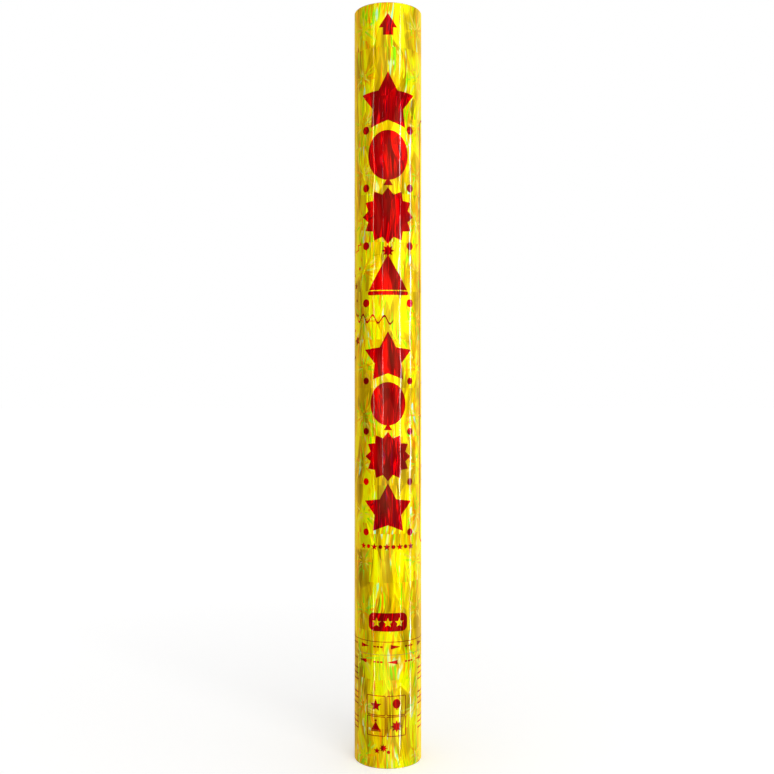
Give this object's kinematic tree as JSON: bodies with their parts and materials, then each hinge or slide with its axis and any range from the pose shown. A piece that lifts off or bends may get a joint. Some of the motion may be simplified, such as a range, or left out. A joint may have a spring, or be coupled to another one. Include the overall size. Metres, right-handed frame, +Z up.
{
  "type": "confetti popper",
  "caption": "Film-wrapped paper tube whose grip twists on the barrel to lift a cartridge valve's plug and blow the wad, confetti, streamers and muzzle cap out.",
  "frame": {"origin": "centre of the grip's bottom rim, on the floor", "axes": "+Z up along the tube to the muzzle, -Y the printed front"},
  "size_m": [0.0504, 0.0504, 0.56],
  "materials": {
    "metallised_film": "gloss",
    "wound_paper": "matte",
    "moulded_grey": "satin",
    "moulded_black": "satin",
    "acetal_white": "satin",
    "drawn_aluminium": "satin",
    "black_rubber": "matte",
    "ground_steel": "polished",
    "pressed_card": "matte",
    "red_slips": "matte",
    "gold_slips": "matte",
    "green_slips": "matte",
    "blue_slips": "matte",
    "red_tape": "matte",
    "silver_tape": "satin",
    "green_tape": "matte"
  },
  "bodies": {
    "barrel": {"barrel_tube": "wound_paper", "barrel_film": "metallised_film", "bearing_sleeve": "wound_paper", "breech_carrier": "moulded_black", "valve_retainer": "moulded_black"},
    "grip": {"grip_tube": "wound_paper", "grip_film": "metallised_film", "base_cap": "moulded_grey", "cartridge_body": "drawn_aluminium", "cartridge_collar": "moulded_grey", "fill_grommet": "black_rubber", "valve_body": "acetal_white", "neck_gasket": "black_rubber"},
    "plug": {"valve_plug": "acetal_white", "plug_seal": "black_rubber", "cross_pin": "ground_steel"},
    "wad": {"wad_cup": "acetal_white", "wad_card": "pressed_card"},
    "confetti": {"confetti_red": "red_slips", "confetti_gold": "gold_slips", "confetti_green": "green_slips", "confetti_blue": "blue_slips"},
    "streamers": {"streamers_red": "red_tape", "streamers_silver": "silver_tape", "streamers_green": "green_tape"},
    "cap": {"muzzle_cap": "moulded_grey"}
  },
  "joints": [
    {"name": "grip_twist", "type": "hinge", "parent": "barrel", "child": "grip", "pos_m": [0, 0, 0], "axis": [0, 0, -1], "range_deg": [0, 90]},
    {"name": "plug_lift", "type": "slide", "parent": "grip", "child": "plug", "axis": [0, 0, 1], "range_m": [0, 0.006]},
    {"name": "confetti_launch", "type": "slide", "parent": "barrel", "child": "confetti", "axis": [0, 0, 1], "range_m": [0, 0.45]},
    {"name": "wad_launch", "type": "slide", "parent": "barrel", "child": "wad", "axis": [0, 0, 1], "range_m": [0, 0.414]},
    {"name": "streamer_launch", "type": "slide", "parent": "barrel", "child": "streamers", "axis": [0, 0, 1], "range_m": [0, 0.495]},
    {"name": "cap_launch", "type": "slide", "parent": "barrel", "child": "cap", "axis": [0, 0, 1], "range_m": [0, 0.5625]}
  ],
  "couplings": [
    {"joint": "plug_lift", "follows": "grip_twist", "m_per_rad": 0.0038197},
    {"joint": "wad_launch", "follows": "confetti_launch", "ratio": 0.92},
    {"joint": "streamer_launch", "follows": "confetti_launch", "ratio": 1.1},
    {"joint": "cap_launch", "follows": "confetti_launch", "ratio": 1.25}
  ]
}
